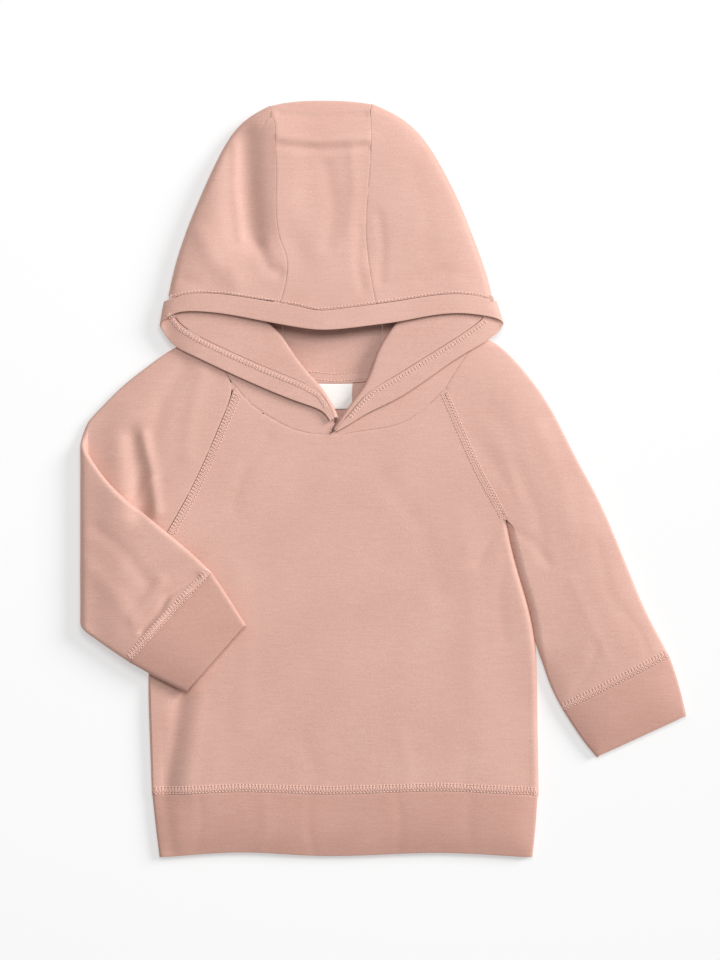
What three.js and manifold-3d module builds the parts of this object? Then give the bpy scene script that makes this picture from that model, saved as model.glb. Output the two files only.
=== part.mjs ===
// A toddler's hooded top with raglan sleeves, lying flat and face up on a table.
// Millimetres. X runs to the right seen from above, Y towards the hood, Z up from the table.
// Left and right are the viewer's, and the left sleeve is folded back over the body.
import * as THREE from 'three';
import Module from 'manifold-3d';

// Driving dimensions
const cloth = 1.6; // jersey wall
const rib = 2.2; // doubled cloth of cuffs, waistband and hood band
const layHeight = 5.2; // table to the top of two layers that lie on each other
const foldRadius = 6.3; // bend of the sleeve that is folded back
const foldLine = -204.6 + foldRadius; // line across the sleeve where the bend starts
const bodyRows = { side: 13, beforeArmpit: 12.3, raglan: 6 };
const sleeveColumns = { top: 9, bottom: 6, roll: 4 };
const sleeveCorner = 6 / sleeveColumns.top; // share of a sleeve's start where its raglan meets the neck
const edgeSamples = 400; // places tried along an edge to find a point on it
const alongStep = 0.01; // share of an edge over which its direction is taken
const nearEnd = 0.025; // share of a ring or seam that lies next to its end
const sideBand = 9; // strip of a body panel that rolls round the side
const sideBandSteps = 4;
const neckEnds = 0.004; // share of a neckline left free at each end

// Gaps at the seams, measured level, where 0.3 mm stays free between the walls
const gaps = {
  waist: 0.3,
  cuff: 0.36,
  side: 0.6, // along the rolled side
  raglan: 0.66,
  crownEdge: 0.24, // each side of a hood seam, round the crown's edge
  hoodSeam: 0.3,
  centrePanel: 0.42,
  centreEnds: 0.36, // to the face band and to the back neck
  faceBand: 0.7,
  backNeck: 0.54,
  frontNeck: 0.54,
  flap: 0.6,
  flapAtEnd: 1.8, // where the flap narrows at the centre front
};


// The lay is thin at its outline, and every layer above the lowest one swells up away from it
const swell = { height: 4.5, reach: 11, clearOfFold: 26 };

// Colours of the cloth
const jersey = new THREE.MeshStandardMaterial({ color: 0xdcae9f, roughness: 0.95, metalness: 0 });
const ribbing = new THREE.MeshStandardMaterial({ color: 0xcf9f90, roughness: 0.95, metalness: 0 });
const lightJersey = new THREE.MeshStandardMaterial({ color: 0xe4bdb0, roughness: 0.95, metalness: 0 });
const satin = new THREE.MeshStandardMaterial({ color: 0xf4f1ee, roughness: 0.6, metalness: 0 });

const hoodie = new THREE.Group();
hoodie.name = 'toddler_hoodie';

// Curves in plan, each a function of its share from 0 to 1
function outline(points) {
  const curve = new THREE.SplineCurve(points.map(([x, y]) => new THREE.Vector2(x, y)));
  const place = (share) => curve.getPointAt(THREE.MathUtils.clamp(share, 0, 1));
  return Object.assign(place, { span: curve.getLength() });
}

function moved(curve, dx, dy) {
  return (share) => curve(share).add(new THREE.Vector2(dx, dy));
}

function trimmed(curve, ends) {
  return (share) => curve(ends + share * (1 - 2 * ends));
}

function joined(first, second, corner) {
  return (share) => (share <= corner ? first(share / corner) : second((share - corner) / (1 - corner)));
}

function between(a, b, share) {
  return a.clone().lerp(b, share);
}

// Cutting lines, as they lie
const armpit = { left: [-144, 56], right: [125.6, 79] };
const shoulder = { left: [-109, 221], right: [104, 221] };
const neckCorner = { left: [-84, 181], right: [77, 178] };
const backCorner = { left: [-72, 196], right: [70, 196] };

const side = {
  left: outline([[-149.6, -136], [-150.6, -108], [-152.4, -43], [-150, 5], armpit.left]),
  right: outline([[151, -136], [150, -80], [149, -23], [144, 8], [136, 35], [129, 62], armpit.right]),
};
const raglan = {
  left: outline([armpit.left, [-121.7, 95], [-107.7, 124], [-94.6, 155], neckCorner.left]),
  right: outline([armpit.right, [107, 112], [96, 135.6], [86, 159], neckCorner.right]),
};
const backRaglan = {
  left: outline([armpit.left, backCorner.left]),
  right: outline([armpit.right, backCorner.right]),
};
const neck = {
  left: outline([neckCorner.left, [-91, 190], [-100, 205], shoulder.left]),
  front: outline([
    neckCorner.left, [-76, 171], [-64, 161.2], [-51.5, 153.5], [-39, 147.7], [-27, 144.6], [-11, 143.4],
    [2, 144.2], [14.7, 146.6], [26.4, 147.9], [40, 150.4], [54, 156.9], [66, 166.6], neckCorner.right,
  ]),
  right: outline([neckCorner.right, [86.8, 193], [95.6, 205.7], shoulder.right]),
};
const backNeck = {
  left: outline([backCorner.left, shoulder.left]),
  back: outline([backCorner.left, [-40, 187], [-7, 184], [28, 187], backCorner.right]),
  right: outline([backCorner.right, shoulder.right]),
};
const hem = outline([[-149.6, -136], [-80, -132.6], [-11, -134.8], [75, -132], [151, -136]]);
const bandBottom = outline([[-143.5, -184], [-80.6, -179.8], [-11, -182.9], [74.4, -180.2], [146.5, -184]]);

// Folds of the top layer, as troughs and ridges along straight runs
const folds = [
  { where: 'left upper arm trough', from: [-156, 118], to: [-153, 84], width: 7, height: -2.6 },
  { where: 'left upper arm ridge', from: [-166, 148], to: [-164, 92], width: 8, height: 1.6 },
  { where: 'left upper arm inner ridge', from: [-137, 126], to: [-136, 80], width: 9, height: 1 },
  { where: 'body left trough', from: [-129, -62], to: [-138, -130], width: 9, height: -2 },
  { where: 'body left ridge', from: [-106, -66], to: [-112, -128], width: 14, height: 1.4 },
  { where: 'body right trough', from: [118, 52], to: [128, -100], width: 11, height: -0.9 },
  { where: 'body right ridge', from: [142, -30], to: [144, -124], width: 8, height: 0.6 },
  { where: 'dimple under the neck', from: [-16, 135], to: [4, 135], width: 7, height: -0.9 },
  { where: 'body middle hollow', from: [-6, -90], to: [-8, -170], width: 16, height: -0.7 },
  { where: 'right sleeve trough', from: [116, 166], to: [119, 116], width: 6, height: -1.1 },
  { where: 'right sleeve ridge', from: [127, 172], to: [128, 110], width: 7, height: 1 },
  { where: 'right sleeve outer trough', from: [158, 148], to: [178, 100], width: 9, height: -0.6 },
  { where: 'right sleeve under hollow', from: [168, -10], to: [184, -52], width: 9, height: -0.6 },
];

// Folds of the forearm that lies on top, placed where they are seen
const forearmFolds = [
  { where: 'crease above the cuff', from: [-153, -5], to: [-131, 20], width: 5, height: 1.2 },
  { where: 'hollow beside it', from: [-163, 0], to: [-142, 27], width: 6, height: -0.8 },
  { where: 'long ridge', from: [-188, 104], to: [-132, 56], width: 10, height: 0.7 },
];

function foldHeight(table, x, y) {
  const here = new THREE.Vector2(x, y);
  return table.reduce((sum, fold) => {
    const start = new THREE.Vector2(...fold.from);
    const run = new THREE.Vector2(...fold.to).sub(start);
    const share = THREE.MathUtils.clamp(here.clone().sub(start).dot(run) / run.lengthSq(), 0, 1);
    const distance = here.distanceTo(start.addScaledVector(run, share));
    return sum + fold.height * Math.exp(-((distance / fold.width) ** 2));
  }, 0);
}

// Even shares from 0 to 1
function steps(count) {
  return Array.from({ length: count + 1 }, (_, k) => k / count);
}

// Outline of the whole lay, from the foot of the body clockwise round the folded sleeve, the hood and the other sleeve
const layOutline = [
  [[146.5, -184], [74.4, -180.2], [-11, -182.9], [-80.6, -179.8], [-143.5, -184]],
  [[-143.5, -184], [-149, -136], [-150.6, -108], [-152, -42]],
  [[-118, -58], [-144, -45], [-165.9, -32.6], [-182, -22], [-200, -12], [-204.6, -4]],
  [[-204.6, -4], [-204.6, 150], [-187.2, 166.6], [-171.7, 182.1], [-154.2, 195.7], [-133, 211], [-138, 222]],
  [[-138, 222], [-142.5, 228], [-136.7, 250.4], [-131, 276], [-122, 303], [-113, 325], [-99, 356], [-86.6, 378]],
  [[-86.6, 378], [-74, 390], [-58.5, 398.4], [-24, 403], [22.5, 400], [52, 384], [80, 343.5], [103, 290.4]],
  [[103, 290.4], [115.2, 250.4], [123, 229], [120, 214], [136, 198], [158.6, 168], [180.6, 125], [200, 89]],
  [[200, 89], [218, 46], [235, 5], [252.7, -28.2], [266, -74.5], [196, -107], [170, -71], [154.4, -36]],
  [[154.4, -36], [150.5, -50], [150, -80], [151, -136], [146.5, -184]],
].flatMap((run) => pointsAlong(run));

// Points 2 mm apart along straight runs
function pointsAlong(points) {
  return points.slice(1).flatMap(([x, y], k) => {
    const [start, end] = [new THREE.Vector2(...points[k]), new THREE.Vector2(x, y)];
    return steps(Math.ceil(start.distanceTo(end) / 2)).map((share) => between(start, end, share));
  });
}

function swellAt(x, y) {
  const here = new THREE.Vector2(x, y);
  const nearest = layOutline.reduce((least, edge) => Math.min(least, here.distanceTo(edge)), Infinity);
  const pastFold = THREE.MathUtils.smoothstep(x, foldLine, foldLine + swell.clearOfFold);
  return pastFold * swell.height * (1 - Math.exp(-nearest / swell.reach));
}

function topHeight(x, y) {
  return layHeight + swellAt(x, y) + foldHeight(folds, x, y);
}

const flatOnTable = () => 0;
const sign = { left: -1, right: 1 };

// Direction of a row of points at one of them, bent rightly at the two ends
function slope(index, count, point) {
  if (index > 0 && index < count - 1) return point(index + 1).clone().sub(point(index - 1));
  const inside = (k) => (index === 0 ? Math.min(k, count - 1) : Math.max(count - 1 - k, 0));
  const [end, next, after] = [inside(0), inside(1), inside(2)];
  const leaving = point(next).clone().multiplyScalar(4).addScaledVector(point(end), -3).sub(point(after));
  return index === 0 ? leaving : leaving.negate();
}

// A closed wall on both sides of a grid of middle points, round on itself if it is a tube
function wall(middle, thickness, isTube = false) {
  const rows = middle.length;
  const columns = middle[0].length;
  const positions = [];
  const around = (j) => (isTube ? (j + columns) % columns : THREE.MathUtils.clamp(j, 0, columns - 1));
  for (const side of [0.5, -0.5]) {
    for (let i = 0; i < rows; i += 1) {
      for (let j = 0; j < columns; j += 1) {
        const along = slope(i, rows, (k) => middle[k][j]);
        const across = isTube ? middle[i][around(j + 1)].clone().sub(middle[i][around(j - 1)])
          : slope(j, columns, (k) => middle[i][k]);
        const normal = across.cross(along).normalize();
        positions.push(...middle[i][j].clone().addScaledVector(normal, side * thickness));
      }
    }
  }
  const outer = (i, j) => i * columns + around(j);
  const inner = (i, j) => rows * columns + outer(i, j);
  const faces = [];
  const quad = (a, b, c, d) => faces.push(a, b, c, a, c, d);
  const cells = isTube ? columns : columns - 1;
  for (let i = 0; i < rows - 1; i += 1) {
    for (let j = 0; j < cells; j += 1) {
      quad(outer(i, j), outer(i, j + 1), outer(i + 1, j + 1), outer(i + 1, j));
      quad(inner(i, j), inner(i + 1, j), inner(i + 1, j + 1), inner(i, j + 1));
    }
    if (!isTube) {
      quad(outer(i, 0), outer(i + 1, 0), inner(i + 1, 0), inner(i, 0));
      quad(outer(i, cells), inner(i, cells), inner(i + 1, cells), outer(i + 1, cells));
    }
  }
  for (let j = 0; j < cells; j += 1) {
    quad(outer(0, j), inner(0, j), inner(0, j + 1), outer(0, j + 1));
    quad(outer(rows - 1, j), outer(rows - 1, j + 1), inner(rows - 1, j + 1), inner(rows - 1, j));
  }
  return faceOutwards(positions, faces);
}

// A geometry whose volume comes out positive, so that its faces point out
function faceOutwards(positions, faces) {
  const geometry = new THREE.BufferGeometry();
  geometry.setAttribute('position', new THREE.Float32BufferAttribute(positions, 3));
  const corner = (index) => new THREE.Vector3().fromArray(positions, 3 * index);
  let volume = 0;
  for (let k = 0; k < faces.length; k += 3) {
    volume += corner(faces[k]).dot(corner(faces[k + 1]).cross(corner(faces[k + 2])));
  }
  if (volume < 0) faces.reverse();
  geometry.setIndex(faces);
  geometry.computeVertexNormals();
  return geometry;
}

function addPiece(name, geometry, material) {
  const mesh = new THREE.Mesh(geometry, material);
  mesh.name = name;
  hoodie.add(mesh);
}

// A flattened tube across a list of stations, each with an under edge and an outer edge.
// Its first and last rings follow the cutting lines given, and the rings between straighten out.
function flatTube(options) {
  const { stations, thickness, columns, start = {}, end = {}, straighten = 3 } = options;
  const { top = topHeight, bottom = flatOnTable } = options;
  const last = stations.length - 1;
  const lengthways = stations[last].under.clone().sub(stations[0].under);
  const turning = Math.sign(lengthways.cross(stations[0].outer.clone().sub(stations[0].under)));
  const strength = (rings, share) => Math.max(1 - rings / (1 + (straighten - 1) * share), 0) ** 2;
  const edgePairs = stations.map((station) => ['under', 'outer'].map((name) => {
    const along = station[`${name}Along`];
    const inward = new THREE.Vector2(-along.y, along.x).multiplyScalar(name === 'outer' ? -turning : turning);
    return rolledEdge({ point: station[name], inward, thickness, top, bottom });
  }));
  const straight = (i, share) => between(edgePairs[i][0].centre, edgePairs[i][1].centre, share);
  const isInside = (share) => (share > 0 && share < 1 ? 1 : 0);
  const deviation = (line, i, share) => line(share).sub(straight(i, share)).multiplyScalar(isInside(share));
  return edgePairs.map((edges, i) => {
    const layer = (count, lines, height) => {
      return withEdges(steps(count)).map((share) => {
        const plan = straight(i, share);
        if (lines.start) plan.addScaledVector(deviation(lines.start, 0, share), strength(i, share));
        if (lines.end) plan.addScaledVector(deviation(lines.end, last, share), strength(last - i, 1));
        return new THREE.Vector3(plan.x, plan.y, height(plan.x, plan.y));
      });
    };
    const roll = (edge) => {
      return steps(columns.roll).slice(1, -1).map((share) => edge.at(Math.PI * (share - 0.5)));
    };
    const lowHeight = (x, y) => bottom(x, y) + thickness / 2;
    const highHeight = (x, y) => top(x, y) - thickness / 2;
    const low = layer(columns.bottom, { start: start.bottom, end: end.bottom }, lowHeight);
    const high = layer(columns.top, { start: start.top, end: end.top }, highHeight);
    return [...low, ...roll(edges[1]), ...high.reverse(), ...roll(edges[0]).reverse()];
  });
}

// Shares with one more close to each end, where a seam turns into a rolled edge
function withEdges(shares) {
  return [0, nearEnd, ...shares.slice(1, -1), 1 - nearEnd, 1];
}

// The round edge where two layers meet, seen in section, from -90 degrees below to 90 degrees on top
function rolledEdge({ point, inward, thickness, top = topHeight, bottom = flatOnTable }) {
  const inside = point.clone().addScaledVector(inward, layHeight);
  const low = bottom(inside.x, inside.y) + thickness / 2;
  const high = top(inside.x, inside.y) - thickness / 2;
  const radius = (high - low) / 2;
  const centre = point.clone().addScaledVector(inward, radius + thickness / 2);
  const at = (angle) => {
    const over = Math.max(Math.abs(angle) - Math.PI / 2, 0);
    const turned = THREE.MathUtils.clamp(angle, -Math.PI / 2, Math.PI / 2);
    const plan = centre.clone().addScaledVector(inward, radius * (over - Math.cos(turned)));
    return new THREE.Vector3(plan.x, plan.y, (low + high) / 2 + radius * Math.sin(turned));
  };
  return { centre, radius, at };
}

// Stations along two edges, from one pair of points on them to another, in equal steps
function stationsAlong(edges, from, to, count, skip = 0) {
  return steps(count).map((share) => ['under', 'outer'].reduce((station, name) => {
    const curve = edges[name];
    const start = nearestShare(curve, from[name]) + skip / curve.span;
    const place = start + share * (nearestShare(curve, to[name]) - start);
    const along = curve(place + alongStep).sub(curve(place - alongStep)).normalize();
    return { ...station, [name]: curve(place), [`${name}Along`]: along };
  }, {}));
}

function nearestShare(curve, [x, y]) {
  const target = new THREE.Vector2(x, y);
  const shares = steps(edgeSamples);
  return shares.reduce((best, share) => {
    return curve(share).distanceTo(target) < curve(best).distanceTo(target) ? share : best;
  }, 0);
}

// Front and back body: rows from the hem to the neck, with the sides rolled round the edge of the lay
function bodyPanel({ raglans, neckLine, columns, height, seamAngle, turn }) {
  const rowCount = bodyRows.side + bodyRows.raglan;
  const edgeAt = (i, name) => {
    if (i < bodyRows.side) return side[name](i / bodyRows.beforeArmpit);
    return moved(raglans[name], -sign[name] * gaps.raglan, 0)((i - bodyRows.side) / bodyRows.raglan);
  };
  return steps(rowCount).map((rise, i) => {
    const [left, right] = [edgeAt(i, 'left'), edgeAt(i, 'right')];
    const width = left.distanceTo(right);
    const inner = steps(columns).slice(1, -1).map((share) => sideBand + share * (width - 2 * sideBand));
    const nearEdge = steps(sideBandSteps).map((share) => share * sideBand);
    const farEdge = nearEdge.map((distance) => width - distance).reverse();
    return [...nearEdge, ...inner, ...farEdge].map((distance) => {
      const share = distance / width;
      const straightHem = between(edgeAt(0, 'left'), edgeAt(0, 'right'), share);
      const straightNeck = between(edgeAt(rowCount, 'left'), edgeAt(rowCount, 'right'), share);
      const wave = hem(share).sub(straightHem).multiplyScalar(1 - rise);
      wave.addScaledVector(neckLine(share).sub(straightNeck), rise);
      const nearLeft = distance <= sideBand;
      const nearRight = width - distance <= sideBand;
      if (i < bodyRows.side && (nearLeft || nearRight)) {
        const name = nearLeft ? 'left' : 'right';
        const inward = right.clone().sub(left).normalize().multiplyScalar(nearLeft ? 1 : -1);
        const edge = rolledEdge({ point: nearLeft ? left : right, inward, thickness: cloth });
        const fromSeam = (nearLeft ? distance : width - distance) / edge.radius;
        const startAngle = seamAngle[name] - (turn < 0 ? gaps.side / edge.radius : 0);
        return edge.at(startAngle + turn * fromSeam).add(new THREE.Vector3(0, wave.y, 0));
      }
      const plan = between(left, right, share).add(wave);
      return new THREE.Vector3(plan.x, plan.y, height(plan.x, plan.y));
    });
  });
}

const topMiddle = (x, y) => topHeight(x, y) - cloth / 2;
const tableMiddle = () => cloth / 2;
// The left side seam shows on top, just inside the edge, and the right one is at the edge
const sideSeamAngle = { left: 1.35, right: 0.15 };

const frontPanel = bodyPanel({
  raglans: raglan,
  neckLine: trimmed(neck.front, neckEnds),
  columns: 16,
  height: topMiddle,
  seamAngle: sideSeamAngle,
  turn: 1,
});
addPiece('front_panel', wall(frontPanel, cloth), jersey);

const backPanel = bodyPanel({
  raglans: backRaglan,
  neckLine: trimmed(backNeck.back, neckEnds),
  columns: 9,
  height: tableMiddle,
  seamAngle: sideSeamAngle,
  turn: -1,
});
addPiece('back_panel', wall(backPanel, cloth), jersey);

// Waistband
const waistTop = { under: [-149, -136.4], outer: [150.6, -136.4] };
const waistFoot = { under: [-143.5, -184], outer: [146.5, -184] };
const waistEdges = {
  under: outline([waistTop.under, [-146.5, -160], waistFoot.under]),
  outer: outline([waistTop.outer, [149, -160], waistFoot.outer]),
};
const waistStart = moved(hem, 0, -gaps.waist);
const waistband = flatTube({
  stations: stationsAlong(waistEdges, waistTop, waistFoot, 4),
  thickness: rib,
  columns: { top: 20, bottom: 12, roll: 4 },
  start: { top: waistStart, bottom: waistStart },
  end: { top: bandBottom, bottom: bandBottom },
});
addPiece('waistband', wall(waistband, rib, true), ribbing);

const sleeveStart = (name) => ({
  top: joined(raglan[name], neck[name], sleeveCorner),
  bottom: joined(backRaglan[name], backNeck[name], sleeveCorner),
});

// Right sleeve and cuff, laid down along the body's edge
const right = {
  start: { under: [126.4, 78.6], outer: shoulder.right },
  cuffSeam: { under: [170, -71], outer: [252.7, -28.2] },
  end: { under: [196, -107], outer: [266, -74.5] },
};
const rightEdges = {
  under: outline([
    right.start.under, [129.8, 62], [136.8, 35], [144.8, 8], [150, -20], [154.4, -36], [161, -54],
    right.cuffSeam.under, [179, -85], [188, -98], right.end.under,
  ]),
  outer: outline([
    right.start.outer, [116, 217.5], [136, 198], [158.6, 168], [180.6, 125], [200, 89], [218, 46], [235, 5],
    right.cuffSeam.outer, [261, -53], right.end.outer,
  ]),
};
const sleeveRight = flatTube({
  stations: stationsAlong(rightEdges, right.start, right.cuffSeam, 17),
  thickness: cloth,
  columns: sleeveColumns,
  start: sleeveStart('right'),
  straighten: 7,
});
addPiece('sleeve_right', wall(sleeveRight, cloth, true), jersey);

const cuffRight = flatTube({
  stations: stationsAlong(rightEdges, right.cuffSeam, right.end, 3, gaps.cuff),
  thickness: rib,
  columns: sleeveColumns,
});
addPiece('cuff_right', wall(cuffRight, rib, true), ribbing);

// Left sleeve and cuff, cut flat and then folded back along a line across the sleeve
const unfolded = ([x, y]) => [2 * foldLine - Math.PI * foldRadius - x, y];
const forearmTop = (x, y) => -foldHeight(forearmFolds, ...unfolded([x, y]));
const sleeveTop = (x, y) => (x < foldLine ? layHeight : topHeight(x, y));

function foldBack(point) {
  const past = foldLine - point.x;
  if (past <= 0) return point;
  const angle = Math.min(past / foldRadius, Math.PI);
  const beyond = past - angle * foldRadius;
  const reach = foldRadius - point.z;
  const x = foldLine - reach * Math.sin(angle) + beyond;
  return new THREE.Vector3(x, point.y, foldRadius - reach * Math.cos(angle) + swellAt(x, point.y));
}

const left = {
  start: { under: [-144.6, 55.6], outer: shoulder.left },
  fold: { under: [foldLine, 0.5], outer: [foldLine, 155] },
  foldedOver: { under: unfolded([foldLine, -10.5]), outer: unfolded([foldLine, 129]) },
  cuffSeam: { under: unfolded([-165.9, -32.6]), outer: unfolded([-101.5, 37.2]) },
  end: { under: unfolded([-121.7, -55.8]), outer: unfolded([-75.2, -3.1]) },
};
const leftEdges = {
  under: outline([
    left.start.under, [-170, 29], left.fold.under, [foldLine - 10, -5], left.foldedOver.under,
    unfolded([-182, -22]), left.cuffSeam.under, unfolded([-144, -45]), left.end.under,
  ]),
  outer: outline([
    shoulder.left, [-133, 211], [-154.2, 195.7], [-171.7, 182.1], [-187.2, 166.6], left.fold.outer,
    [foldLine - 10, 140], left.foldedOver.outer, unfolded([-179.8, 103.9]), unfolded([-146.5, 76.7]),
    unfolded([-119.4, 54.3]), left.cuffSeam.outer, unfolded([-88, 17]), left.end.outer,
  ]),
};
const leftStations = [
  ...stationsAlong(leftEdges, left.start, left.fold, 8),
  ...stationsAlong(leftEdges, left.fold, left.foldedOver, 8).slice(1),
  ...stationsAlong(leftEdges, left.foldedOver, left.cuffSeam, 7).slice(1),
];
const sleeveLeft = flatTube({
  stations: leftStations,
  thickness: cloth,
  columns: sleeveColumns,
  start: sleeveStart('left'),
  straighten: 7,
  top: sleeveTop,
  bottom: forearmTop,
});
addPiece('sleeve_left', wall(sleeveLeft.map((ring) => ring.map(foldBack)), cloth, true), jersey);

const cuffLeft = flatTube({
  stations: stationsAlong(leftEdges, left.cuffSeam, left.end, 3, gaps.cuff),
  thickness: rib,
  columns: sleeveColumns,
  top: sleeveTop,
  bottom: forearmTop,
});
addPiece('cuff_left', wall(cuffLeft.map((ring) => ring.map(foldBack)), rib, true), ribbing);

// Hood: its crown lies over its back, and its front edges are turned outwards over the neck
const hoodHeight = 11.2; // table to the top of the crown at its edge
const crownRise = 2.6; // how much higher the crown stands over the face opening
const flapMiddle = 7.4; // middle of the turned-out front edge
const stripMiddle = 4.4; // middle of the strip between that fold and the neck seam
const hoodRows = 12;
const lapelRows = 16;
const bandSteps = 2; // rows of the band's wall for each row of its table

const hoodFolds = [
  { where: 'trough beside the left seam', from: [-82, 374], to: [-78, 300], width: 10, height: -4 },
  { where: 'its lower end', from: [-77, 292], to: [-66, 264], width: 9, height: -1.6 },
  { where: 'ridge left of it', from: [-97, 350], to: [-104, 285], width: 10, height: 1.6 },
  { where: 'ridge along the left seam', from: [-52, 380], to: [-50, 310], width: 10, height: 1.6 },
  { where: 'centre panel beside the left seam', from: [-45, 384], to: [-40, 312], width: 9, height: 1.2 },
  { where: 'hollow right of the left seam', from: [-41, 300], to: [-36, 278], width: 8, height: -1.4 },
  { where: 'upper crease of the crown', from: [-48, 393], to: [14, 394], width: 5, height: -0.8 },
  { where: 'lower crease of the crown', from: [-44, 371], to: [14, 369], width: 6, height: 1 },
  { where: 'crease at the right seam', from: [18, 314], to: [19, 278], width: 4, height: -0.9 },
  { where: 'hollow above the left corner', from: [-103, 272], to: [-98, 256], width: 8, height: -0.8 },
  { where: 'crease of the band in the middle', from: [-9, 230], to: [-12, 246], width: 5, height: -1 },
];

function hoodTop(x, y) {
  const nearFace = Math.exp(-(((x + 9) / 75) ** 2) - ((y - 230) / 70) ** 2);
  return hoodHeight + swellAt(x, y) + crownRise * nearFace + foldHeight(hoodFolds, x, y);
}

const hoodEdge = outline([
  [-136.5, 251.2], [-131, 276], [-122, 303], [-113, 325], [-99, 356], [-86.6, 378], [-74, 390],
  [-58.5, 398.4],
  [-42, 402], [-24, 403], [2, 402.6], [22.5, 400], [37, 393.6], [52, 384], [66, 368], [80, 343.5],
  [90.4, 322.4],
  [103, 290.4], [111.8, 265.5], [115.2, 250.4],
]);

// Face edge and the seam of its band, round from the right-hand end at the centre front
const bandTable = [
  { edge: [-6.6, 145.6], seam: [-3.6, 149.4], level: 'turned out' },
  { edge: [4, 151.5], seam: [5, 159.6], level: 'turned out' },
  { edge: [17, 159.6], seam: [14.6, 171.4], level: 'turned out' },
  { edge: [29, 165.4], seam: [23, 179], level: 'turned out' },
  { edge: [46, 174], seam: [39, 188], level: 'turned out' },
  { edge: [66, 187.7], seam: [59, 200.5], level: 'turned out' },
  { edge: [87, 202.5], seam: [80, 213.5], level: 'turned out' },
  { edge: [106, 213.5], seam: [99, 226], level: 'turned out' },
  { edge: [117, 221], seam: [110, 234.5], level: 'turned out' },
  { edge: [121.3, 225.5], seam: [114.6, 240.5], level: 'turned out' },
  { edge: [122.6, 229], seam: [117.2, 246.2], level: 'corner' },
  { edge: [119.6, 232.6], seam: [112, 248], level: 'crown' },
  { edge: [108, 235.4], seam: [101, 250.8], level: 'crown' },
  { edge: [88, 237.4], seam: [85, 252], level: 'crown' },
  { edge: [66, 235.2], seam: [64, 250], level: 'crown' },
  { edge: [43, 230.6], seam: [42, 246.3], level: 'crown' },
  { edge: [20, 227.6], seam: [20, 243.2], level: 'crown' },
  { edge: [-2, 224.9], seam: [-2, 240.4], level: 'crown' },
  { edge: [-20, 224.2], seam: [-20, 238.8], level: 'crown' },
  { edge: [-38, 226.6], seam: [-38, 243], level: 'crown' },
  { edge: [-62, 231], seam: [-63, 247], level: 'crown' },
  { edge: [-90, 236.4], seam: [-92, 251.6], level: 'crown' },
  { edge: [-114, 238.8], seam: [-114, 252.6], level: 'crown' },
  { edge: [-129, 237.8], seam: [-125, 251], level: 'crown' },
  { edge: [-138, 232.6], seam: [-133, 248], level: 'crown' },
  { edge: [-141.7, 228], seam: [-138.4, 246.2], level: 'corner' },
  { edge: [-139, 221.6], seam: [-135.8, 240], level: 'turned out' },
  { edge: [-131, 212.3], seam: [-127, 228.5], level: 'turned out' },
  { edge: [-117, 205], seam: [-113, 219.5], level: 'turned out' },
  { edge: [-92, 193], seam: [-87, 207], level: 'turned out' },
  { edge: [-64, 180.4], seam: [-58.3, 194.3], level: 'turned out' },
  { edge: [-38, 169.8], seam: [-32, 183.6], level: 'turned out' },
  { edge: [-22, 164.4], seam: [-18.5, 176], level: 'turned out' },
  { edge: [-14.6, 160], seam: [-12.4, 166.6], level: 'turned out' },
  { edge: [-10.2, 153.4], seam: [-8.4, 157], level: 'turned out' },
];

function bandPoint([x, y], level) {
  const crown = hoodTop(x, y) - rib / 2;
  const flap = flapMiddle + swellAt(x, y);
  const height = { 'turned out': flap, crown, corner: (flap + crown) / 2 }[level];
  return new THREE.Vector3(x, y, height);
}

function bandCurve(column) {
  const points = bandTable.map((row) => bandPoint(row[column], row.level));
  const curve = new THREE.CatmullRomCurve3(points, false, 'centripetal');
  return steps(bandSteps * (points.length - 1)).map((share) => curve.getPoint(share));
}
const bandEdge = bandCurve('edge');
const bandSeam = bandCurve('seam');
const hoodBand = bandEdge.map((point, i) => steps(3).map((share) => point.clone().lerp(bandSeam[i], share)));
addPiece('hood_band', wall(hoodBand, rib), lightJersey);

// Where the band's seam lies on the crown
const seamOnCrown = bandTable.filter((row) => row.level === 'crown').map((row) => row.seam);
const crownSeam = outline([[116, 246.6], ...seamOnCrown, [-137, 247]]);

// A cutting line is moved a seam's gap towards a point inside the hood
function towards([x, y], curve, distance) {
  const target = new THREE.Vector2(x, y);
  return (share) => {
    const point = curve(share);
    return point.addScaledVector(target.clone().sub(point).normalize(), distance);
  };
}

// The stretch of a curve between the places nearest to two points
function stretch(curve, from, to) {
  const [start, end] = [nearestShare(curve, from), nearestShare(curve, to)];
  return (share) => curve(start + share * (end - start));
}

function backwards(curve) {
  return (share) => curve(1 - share);
}

// Seams between the side panels and the centre panel, on top and underneath, up to the crown
const apex = { left: [-58.5, 398.4], right: [22.5, 400] };
const topSeam = {
  left: [[-48.6, 246.6], [-43.4, 267], [-43.6, 281], [-50, 295], [-52.6, 322], [-51.6, 345],
    [-53, 366], [-52, 380]],
  right: [[25, 244.5], [22, 258], [19, 278], [16.8, 303], [18, 322], [20, 347], [21.4, 370]],
};
const underSeam = {
  left: [[-46, 189], [-49, 260], [-54, 330]],
  right: [[30, 189], [29, 260], [26, 330]],
};
const crownCentre = [-9, 300];

// Section of the crown's roll at a place on the hood's edge
function crownRoll(share) {
  const along = hoodEdge(share + alongStep).sub(hoodEdge(share - alongStep)).normalize();
  const inward = new THREE.Vector2(along.y, -along.x);
  return rolledEdge({ point: hoodEdge(share), inward, thickness: cloth, top: hoodTop });
}

function seamsTo(name) {
  const end = crownRoll(nearestShare(hoodEdge, apex[name])).centre;
  return {
    top: outline([...topSeam[name], [end.x, end.y]]),
    under: outline([...underSeam[name], [end.x, end.y]]),
  };
}
const hoodSeams = { left: seamsTo('left'), right: seamsTo('right') };

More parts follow.
